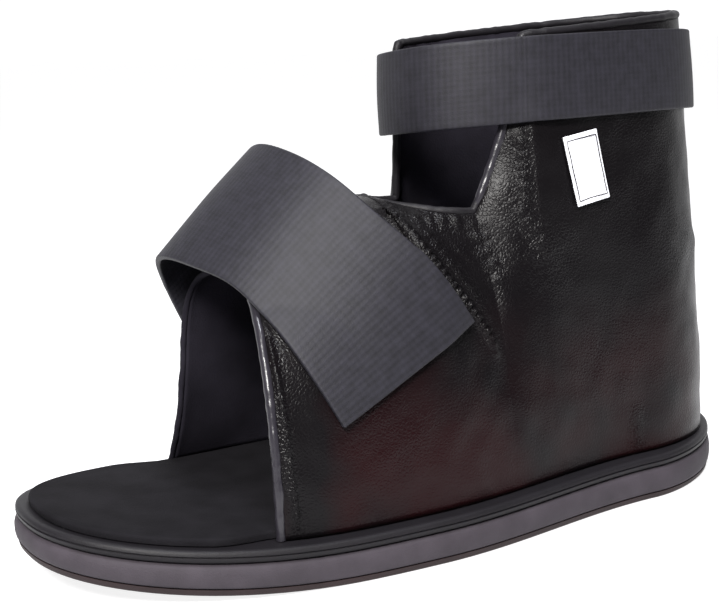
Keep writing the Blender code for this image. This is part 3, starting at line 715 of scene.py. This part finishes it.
def surfacePiece(name, steps, heights, material, depth, thickness, dressed):
    # A grid laid on the upper's surface, at a depth under it, with its creases, then thickened
    points, normals = upperGrid(steps, heights, 0.6 if dressed else evenPart)
    bm = bmesh.new()
    bmesh.ops.create_grid(bm, x_segments=steps, y_segments=heights, size=0.5)
    creasedLayer = bm.verts.layers.float.new("creased")
    for vert in bm.verts:
        i, j = round((vert.co.x + 0.5) * steps), round((vert.co.y + 0.5) * heights)
        point, normal = points[i][j], normals[i][j]
        edgeFade = smooth(0, 0.05, j / heights) * smooth(0, 0.03, 1 - j / heights)
        sideFade = smooth(0, 3, i) * smooth(0, 3, steps - i)
        raised, creased = creaseHeight(point) if dressed else (0.0, 0.0)
        wave = undulation["height"] * noise.noise(point / (undulation["size"] * millimetre))
        wave += 0.3 * noise.noise(point / (9 * millimetre)) * (1 if dressed else 0)
        lift = (raised + wave) * edgeFade * sideFade * millimetre
        vert.co = point + normal * (lift - depth)
        vert[creasedLayer] = min(creased, 1.0)
    if facesInwards(bm):
        bmesh.ops.reverse_faces(bm, faces=bm.faces)
    piece = finishPiece(name, bm, material)
    addSolidify(piece, thickness, -1)
    return piece


def facesInwards(bm):
    bm.faces.ensure_lookup_table()
    bm.normal_update()
    face = bm.faces[len(bm.faces) // 2]
    centre = face.calc_center_median()
    return face.normal.dot(Vector((centre.x + 0.06, centre.y, 0))) < 0


print("upper")
skin = {"steps": 520, "heights": 88, "thickness": 0.0012}
liner = {"steps": 300, "heights": 44, "thickness": 0.0008}
vinylSkin = surfacePiece("vinylUpper", skin["steps"], skin["heights"], vinyl,
                         0.0, skin["thickness"], True)
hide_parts("upper")
liningKnit = surfacePiece("upperLining", liner["steps"], liner["heights"], lining,
                          shoe["wall"] - liner["thickness"], liner["thickness"], False)


# Rolled edges
crestRibs = runs[-1]["ribs"]


def beadPath(edge, inner, normals, radius, closed):
    path = []
    last = len(edge) - 1
    for i, point in enumerate(edge):
        following = edge[(i + 1) % (last + 1)] if closed else edge[min(i + 1, last)]
        previous = edge[i - 1] if closed else edge[max(i - 1, 0)]
        outwards = (following - previous).cross(normals[i]).normalized()
        if outwards.dot(point - inner[i]) < 0:
            outwards.negate()
        path.append(point + outwards * (radius * 0.72) - normals[i] * (shoe["wall"] / 2))
    return path


def beadPiece(name, path, radius, closed, material, replaced, taper=0):
    # A round roll on a curve with a bevel, its radius varied as puckered tape is
    curve = bpy.data.curves.new(name, "CURVE")
    curve.dimensions = "3D"
    curve.bevel_depth = radius
    curve.bevel_resolution = 4
    curve.use_fill_caps = not closed
    spline = curve.splines.new("POLY")
    spline.points.add(len(path) - 1)
    for i, (knot, place) in enumerate(zip(spline.points, path)):
        shift = Vector([noise.noise(place * 140 + Vector((k * 9, 0, 0))) for k in range(3)])
        knot.co = (*(place + shift * 0.00025), 1)
        knot.radius = 1 + 0.16 * noise.noise(place * 330)
        if taper:
            knot.radius *= 0.35 + 0.65 * smooth(0, taper, min(i, len(path) - 1 - i))
    spline.use_cyclic_u = closed
    curve.materials.append(material)
    piece = bpy.data.objects.new(name, curve)
    bpy.context.scene.collection.objects.link(piece)
    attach(piece, "root")
    if replaced:
        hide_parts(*replaced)
    return piece


def resample(path, spacing):
    lengths = [0.0]
    for a, b in zip(path, path[1:]):
        lengths.append(lengths[-1] + (b - a).length)
    count = max(int(lengths[-1] / spacing), 2)
    found, k = [], 0
    for i in range(count + 1):
        target = lengths[-1] * i / count
        while k < len(path) - 2 and lengths[k + 1] < target:
            k += 1
        span = lengths[k + 1] - lengths[k]
        found.append(path[k].lerp(path[k + 1], (target - lengths[k]) / span if span > 0 else 0))
    return found


print("rolled edges")
bead = {"near": 0.00165, "far": 0.00115, "collar": 0.0016, "spacing": 0.0011}
nearToe = beadPath(edgePoints[-1], edgePoints[-2], edgeNormals[-1], bead["near"], False)
farToe = beadPath(edgePoints[0], edgePoints[1], edgeNormals[0], bead["far"], False)
beadPiece("nearToeBinding", resample(nearToe, bead["spacing"]), bead["near"], False, binding,
          ["toe_piping"])
beadPiece("farToeBinding", resample(farToe, bead["spacing"]), bead["far"], False, lining,
          [])

perRib = edgeSteps / (2 * ribCount)
firstCollar = round(crestRibs * perRib)
ring = range(firstCollar, edgeSteps + 1 - firstCollar)
collarEdge = [edgePoints[i][-1] for i in ring]
collarInner = [edgePoints[i][-2] for i in ring]
collarNormals = [edgeNormals[i][-1] for i in ring]
collarPath = beadPath(collarEdge, collarInner, collarNormals, bead["collar"], True)
notchStart = round((ribCount + sum(run["ribs"] for run in runs[:2]) + 1.5) * perRib) - firstCollar
notchEnd = round((ribCount + sum(run["ribs"] for run in runs[:3])) * perRib) - firstCollar
# The edge loop takes the darker, rougher black rim foam, and only the near throat side, like the near toe
# edge, gets the lighter, glossier binding laid over it: a shaded and a lit copy of one binding tape, with
# painted shade along the rest of the loop.
beadPiece("collarBinding", resample(collarPath + collarPath[:1], bead["spacing"])[:-1],
          bead["collar"], True, rimFoam, ["collar_piping"])
throatRoll = [p + Vector((0.0002, 0.0004, 0)) for p in collarPath[notchStart - 10:notchEnd + 2]]
beadPiece("throatBinding", resample(throatRoll, bead["spacing"]), bead["collar"] * 1.06, False,
          binding, [], taper=8)


# Straps
strap = {
    "thickness": 0.0024, "halfSpan": 0.056, "gap": 0.0006, "seatReach": 0.005,
    "stepsPerRow": 14, "widthSteps": 36,
}
# From the sewn far end over the crest to the square near end, as shares of half span, sole length
# and instep height; lift says how far the tape has left the upper.
strapRows = (
    {"across": -1.00, "frontX": 0.695, "frontZ": 0.42, "rearX": 0.515, "rearZ": 0.66, "lift": 0.0},
    {"across": -0.97, "frontX": 0.717, "frontZ": 0.56, "rearX": 0.560, "rearZ": 0.85, "lift": 0.5},
    {"across": -0.86, "frontX": 0.745, "frontZ": 0.72, "rearX": 0.605, "rearZ": 1.03, "lift": 1.0},
    {"across": -0.66, "frontX": 0.768, "frontZ": 0.81, "rearX": 0.632, "rearZ": 1.12, "lift": 1.0},
    {"across": -0.36, "frontX": 0.780, "frontZ": 0.85, "rearX": 0.643, "rearZ": 1.16, "lift": 1.0},
    {"across": 0.00, "frontX": 0.772, "frontZ": 0.84, "rearX": 0.640, "rearZ": 1.15, "lift": 1.0},
    {"across": 0.36, "frontX": 0.752, "frontZ": 0.80, "rearX": 0.620, "rearZ": 1.09, "lift": 1.0},
    {"across": 0.64, "frontX": 0.730, "frontZ": 0.70, "rearX": 0.583, "rearZ": 0.97, "lift": 1.0},
    {"across": 0.84, "frontX": 0.706, "frontZ": 0.57, "rearX": 0.538, "rearZ": 0.85, "lift": 0.7},
    {"across": 1.00, "frontX": 0.678, "frontZ": 0.425, "rearX": 0.477, "rearZ": 0.675, "lift": 0.0},
)


def seated(point, clearance, lift):
    nearest, normal, _, distance = upperTree.find_nearest(point)
    seat = nearest + normal * clearance
    if (point - nearest).dot(normal) < clearance and distance < strap["seatReach"]:
        return seat
    return seat.lerp(point, lift)


def strapRow(position):
    last = len(strapRows) - 1
    i = min(int(position), last - 1)
    t = position - i
    rows = [strapRows[min(max(k, 0), last)] for k in (i - 1, i, i + 1, i + 2)]
    eased = {}
    for key in strapRows[0]:
        a, b, c, d = (row[key] for row in rows)
        eased[key] = b + 0.5 * t * (c - a + t * (2 * a - 5 * b + 4 * c - d + t * (3 * (b - c) + d - a)))
    return eased


def tapePiece(name, rows, thickness, material, replaced, closed=False, smoothings=0):
    # A grid taken to rows of points across the tape, thickened, its edges rounded, with a UV map
    # in millimetres along and across
    steps, width = len(rows) - 1, len(rows[0]) - 1
    bm = bmesh.new()
    bmesh.ops.create_grid(bm, x_segments=steps, y_segments=width, size=0.5)
    uv = bm.loops.layers.uv.new("tape")
    along = [0.0]
    for i in range(steps):
        along.append(along[-1] + (rows[i + 1][width // 2] - rows[i][width // 2]).length)
    across = (rows[steps // 2][width] - rows[steps // 2][0]).length
    places = {}
    bm.verts.index_update()
    for vert in bm.verts:
        i, j = round((vert.co.x + 0.5) * steps), round((vert.co.y + 0.5) * width)
        places[vert.index] = (i, j)
    for face in bm.faces:
        for loop in face.loops:
            i, j = places[loop.vert.index]
            loop[uv].uv = (along[i] / millimetre, across * j / width / millimetre)
    for vert in bm.verts:
        i, j = places[vert.index]
        vert.co = rows[i][j]
    if closed:
        bmesh.ops.remove_doubles(bm, verts=bm.verts, dist=1e-6)
    for _ in range(smoothings):
        bmesh.ops.smooth_vert(bm, verts=bm.verts, factor=0.5,
                              use_axis_x=True, use_axis_y=True, use_axis_z=False)
    piece = finishPiece(name, bm, material, replaced)
    addSolidify(piece, thickness, 0)
    rounding = piece.modifiers.new("rounding", "BEVEL")
    rounding.width = thickness * 0.32
    rounding.segments = 3
    rounding.limit_method = "ANGLE"
    rounding.angle_limit = math.radians(60)
    return piece


print("straps")
forefootRows = []
total = (len(strapRows) - 1) * strap["stepsPerRow"]
for i in range(total + 1):
    row = strapRow(i / strap["stepsPerRow"])
    y = row["across"] * strap["halfSpan"]
    front = placed(row["frontX"] * shoe["length"], y, row["frontZ"] * shoe["instepHeight"])
    rear = placed(row["rearX"] * shoe["length"], y, row["rearZ"] * shoe["instepHeight"])
    lift = min(max(row["lift"], 0), 1)
    line = []
    for j in range(strap["widthSteps"] + 1):
        share = j / strap["widthSteps"]
        point = front.lerp(rear, share)
        point = seated(point, strap["thickness"] / 2 + strap["gap"], lift)
        crown = 0.0007 * math.sin(math.pi * share) * lift
        ripple = 0.00035 * noise.noise(point * 45)
        line.append(point + Vector((0, 0, crown + ripple)))
    forefootRows.append(line)
tapePiece("forefootStrap", forefootRows, strap["thickness"], webbing,
          ["forefoot_strap"])

collarStrap = {
    "width": 0.0302, "drop": 0.0372, "tilt": 0.085, "slope": 0.017, "slack": 0.0012,
    "ease": 0.0024, "leavesBefore": 0.018, "freeBefore": 0.004, "overBead": 0.0014,
    "steps": 200, "widthSteps": 20,
}


def clearOfBead(point, path, away):
    needed = bead["collar"] + strap["thickness"] / 2 + collarStrap["overBead"]
    for _ in range(6):
        closest = min((point - place).length for place in path)
        if closest >= needed:
            break
        point = point + away * (needed - closest)
    return point


def collarStrapRows():
    clearance = strap["thickness"] / 2 + shoe["gap"]
    beadLift = bead["collar"] - shoe["wall"] / 2 + shoe["gap"]
    halfLength = (shoe["collarFrontX"] - shoe["collarBackX"]) / 2 + clearance + collarStrap["ease"]
    halfWidth = shoe["collarWidth"] / 2 + clearance + collarStrap["ease"]
    middle = (shoe["collarFrontX"] + shoe["collarBackX"]) / 2
    roundness = shoe["collarRoundness"]
    path = [p for p in collarPath if p.z > 0.13]
    rows = []
    for i in range(collarStrap["steps"] + 1):
        angle = (i % collarStrap["steps"]) / collarStrap["steps"] * 2 * math.pi - math.pi / 2
        c, s = math.cos(angle), math.sin(angle)
        size = (abs(c) ** roundness + abs(s) ** roundness) ** (-1 / roundness)
        x, y = middle + halfLength * c * size, halfWidth * s * size
        cornerX = shoe["nearCornerX"] if y > 0 else shoe["farCornerX"]
        leavesX = cornerX - collarStrap["leavesBefore"]
        free = smooth(leavesX, cornerX - collarStrap["freeBefore"], x)
        overBead = beadLift * smooth(leavesX - collarStrap["leavesBefore"], leavesX, x)
        low = shoe["collarHeight"] - collarStrap["drop"] + collarStrap["tilt"] * y
        low -= collarStrap["slope"] * (x - shoe["collarBackX"])
        slack = collarStrap["slack"] * (1 - smooth(shoe["collarBackX"], shoe["collarSideX"], x))
        line = []
        for j in range(collarStrap["widthSteps"] + 1):
            share = j / collarStrap["widthSteps"]
            point = placed(x, y, low + collarStrap["width"] * share)
            point = seated(point, clearance + overBead + slack, free)
            point = clearOfBead(point, path, Vector((c, s, 0)))
            bow = 0.0004 * math.sin(math.pi * share) + 0.0003 * noise.noise(point * 40)
            line.append(point + Vector((c, s, 0)) * bow)
        rows.append(line)
    return rows


tapePiece("collarStrap", collarStrapRows(), strap["thickness"], webbing,
          ["collar_strap"], closed=True, smoothings=14)

print("label")
tag = {"width": 0.0152, "length": 0.0255, "thickness": 0.0008, "x": 0.0852, "drop": 0.0533,
       "turn": math.radians(9), "steps": 14, "lift": 0.0006}
tagRows = []
for i in range(tag["steps"] + 1):
    line = []
    for j in range(tag["steps"] + 1):
        across = (i / tag["steps"] - 0.5) * tag["width"]
        along = (j / tag["steps"] - 0.5) * tag["length"]
        x = tag["x"] + across * math.cos(tag["turn"]) + along * math.sin(tag["turn"])
        z = shoe["collarHeight"] - tag["drop"]
        z += -across * math.sin(tag["turn"]) + along * math.cos(tag["turn"])
        hit, normal, _, _ = upperTree.ray_cast(placed(x, shoe["ballWidth"], z), Vector((0, -1, 0)))
        curl = tag["lift"] * (1 - j / tag["steps"]) ** 2
        line.append(hit + normal * (tag["thickness"] / 2 + shoe["gap"] + 0.0008 + curl))
    tagRows.append(line)
tapePiece("label", tagRows, tag["thickness"], label, ["tag"])
# A dark thread stitched round the label's hem, which also stands in for the dark shadow round the label's
# edge: real stitching and painted shadow in one.
hem, far = 1, tag["steps"] - 1
hemPath = [tagRows[i][hem] for i in range(hem, far)] + [tagRows[far][j] for j in range(hem, far)]
hemPath += [tagRows[i][far] for i in range(far, hem, -1)] + [tagRows[hem][j] for j in range(far, hem, -1)]
hemPath = [place + Vector((0, tag["thickness"] * 0.55, 0)) for place in hemPath]
beadPiece("labelStitchingAndPaintedShadow", hemPath, 0.00022, True, thread, [])


# Floor, light and camera
def studio():
    floor = bmesh.new()
    bmesh.ops.create_grid(floor, x_segments=1, y_segments=1, size=40.0)
    mesh = bpy.data.meshes.new("studioFloor")
    floor.to_mesh(mesh)
    floor.free()
    mesh.transform(Matrix.Translation((0, 0, -0.0003)))
    # White paper, lit from below so that it stays white, and dimmer past the front of the table
    paper, tree, shader = newMaterial("white studio paper", "#a8a8aa", 0.9, 0.1)
    ways = addNode(tree, "ShaderNodeTexCoord").outputs["Object"]
    ahead = addNode(tree, "ShaderNodeVectorMath", {"operation": "DOT_PRODUCT", 1: (0.49, 0.87, 0.0)},
                    {0: ways})
    glow = addNode(tree, "ShaderNodeMapRange",
                   {"interpolation_type": "SMOOTHSTEP", "From Min": 0.12, "From Max": 0.28,
                    "To Min": 0.85, "To Max": 0.02}, {"Value": ahead.outputs["Value"]})
    shader.inputs["Emission Color"].default_value = (1.0, 1.0, 1.0, 1.0)
    tree.links.new(glow.outputs["Result"], shader.inputs["Emission Strength"])
    mesh.materials.append(paper)
    ground = bpy.data.objects.new("studioFloor", mesh)
    bpy.context.scene.collection.objects.link(ground)

    world = bpy.data.worlds.new("studio")
    world.use_nodes = True
    sky = world.node_tree
    background = sky.nodes["Background"]
    background.inputs["Color"].default_value = hexToLinear("#f6f6f8")
    ways = addNode(sky, "ShaderNodeTexCoord").outputs["Generated"]
    facing = addNode(sky, "ShaderNodeVectorMath",
                     {"operation": "DOT_PRODUCT", 1: lightSettings["brightWay"]}, {0: ways})
    strength = addNode(sky, "ShaderNodeMapRange",
                       {"interpolation_type": "SMOOTHSTEP", "From Min": 0.2, "From Max": 0.8,
                        "To Min": lightSettings["dimWorld"], "To Max": lightSettings["brightWorld"]},
                       {"Value": facing.outputs["Value"]})
    sky.links.new(strength.outputs["Result"], background.inputs["Strength"])
    bpy.context.scene.world = world
    for lamp in lightSettings["lamps"]:
        light = bpy.data.lights.new(lamp["name"], "AREA")
        light.energy = lamp["power"]
        light.size = lamp["size"]
        light.color = hexToLinear(lamp["colour"])[:3]
        turn, rise = math.radians(lamp["azimuth"]), math.radians(lamp["elevation"])
        aim = Vector((0, 0, 0.08))
        place = aim + lamp["distance"] * Vector(
            (math.cos(turn) * math.cos(rise), math.sin(turn) * math.cos(rise), math.sin(rise)))
        holder = bpy.data.objects.new(lamp["name"], light)
        holder.location = place
        holder.rotation_euler = (aim - place).to_track_quat("-Z", "Y").to_euler()
        bpy.context.scene.collection.objects.link(holder)


lightSettings = {
    "dimWorld": 0.10, "brightWorld": 1.2, "brightWay": (-0.49, -0.87, 0.0),
    "lamps": (
        {"name": "key", "azimuth": 48, "elevation": 38, "distance": 1.3, "size": 0.40, "power": 34,
         "colour": "#fffdfa"},
        {"name": "top", "azimuth": 75, "elevation": 78, "distance": 1.4, "size": 0.32, "power": 14,
         "colour": "#f6f8ff"},
    ),
}
studio()

# The photo's camera: place in metres, turns in radians, focal length in pixels of a 719-wide frame
view = {"place": (0.261206, 0.453710, 0.173615), "pan": 0.499, "tilt": 0.180, "roll": -0.036,
        "focal": 1427.0, "frameWidth": 719, "sensor": 36.0}


def photoCamera():
    ahead = Vector((-math.sin(view["pan"]) * math.cos(view["tilt"]),
                    -math.cos(view["pan"]) * math.cos(view["tilt"]), -math.sin(view["tilt"])))
    right = ahead.cross(Vector((0, 0, 1))).normalized()
    up = right.cross(ahead)
    rolledRight = math.cos(view["roll"]) * right + math.sin(view["roll"]) * up
    rolledUp = -math.sin(view["roll"]) * right + math.cos(view["roll"]) * up
    data = bpy.data.cameras.new("photoCamera")
    data.sensor_fit = "HORIZONTAL"
    data.sensor_width = view["sensor"]
    data.lens = view["focal"] / view["frameWidth"] * view["sensor"]
    data.clip_start = 0.01
    camera = bpy.data.objects.new("photoCamera", data)
    placedCamera = Matrix((rolledRight, rolledUp, -ahead)).transposed().to_4x4()
    placedCamera.translation = view["place"]
    camera.matrix_world = placedCamera
    bpy.context.scene.collection.objects.link(camera)
    bpy.context.scene.camera = camera


print("camera")
photoCamera()
bpy.context.scene.view_settings.view_transform = "Standard"
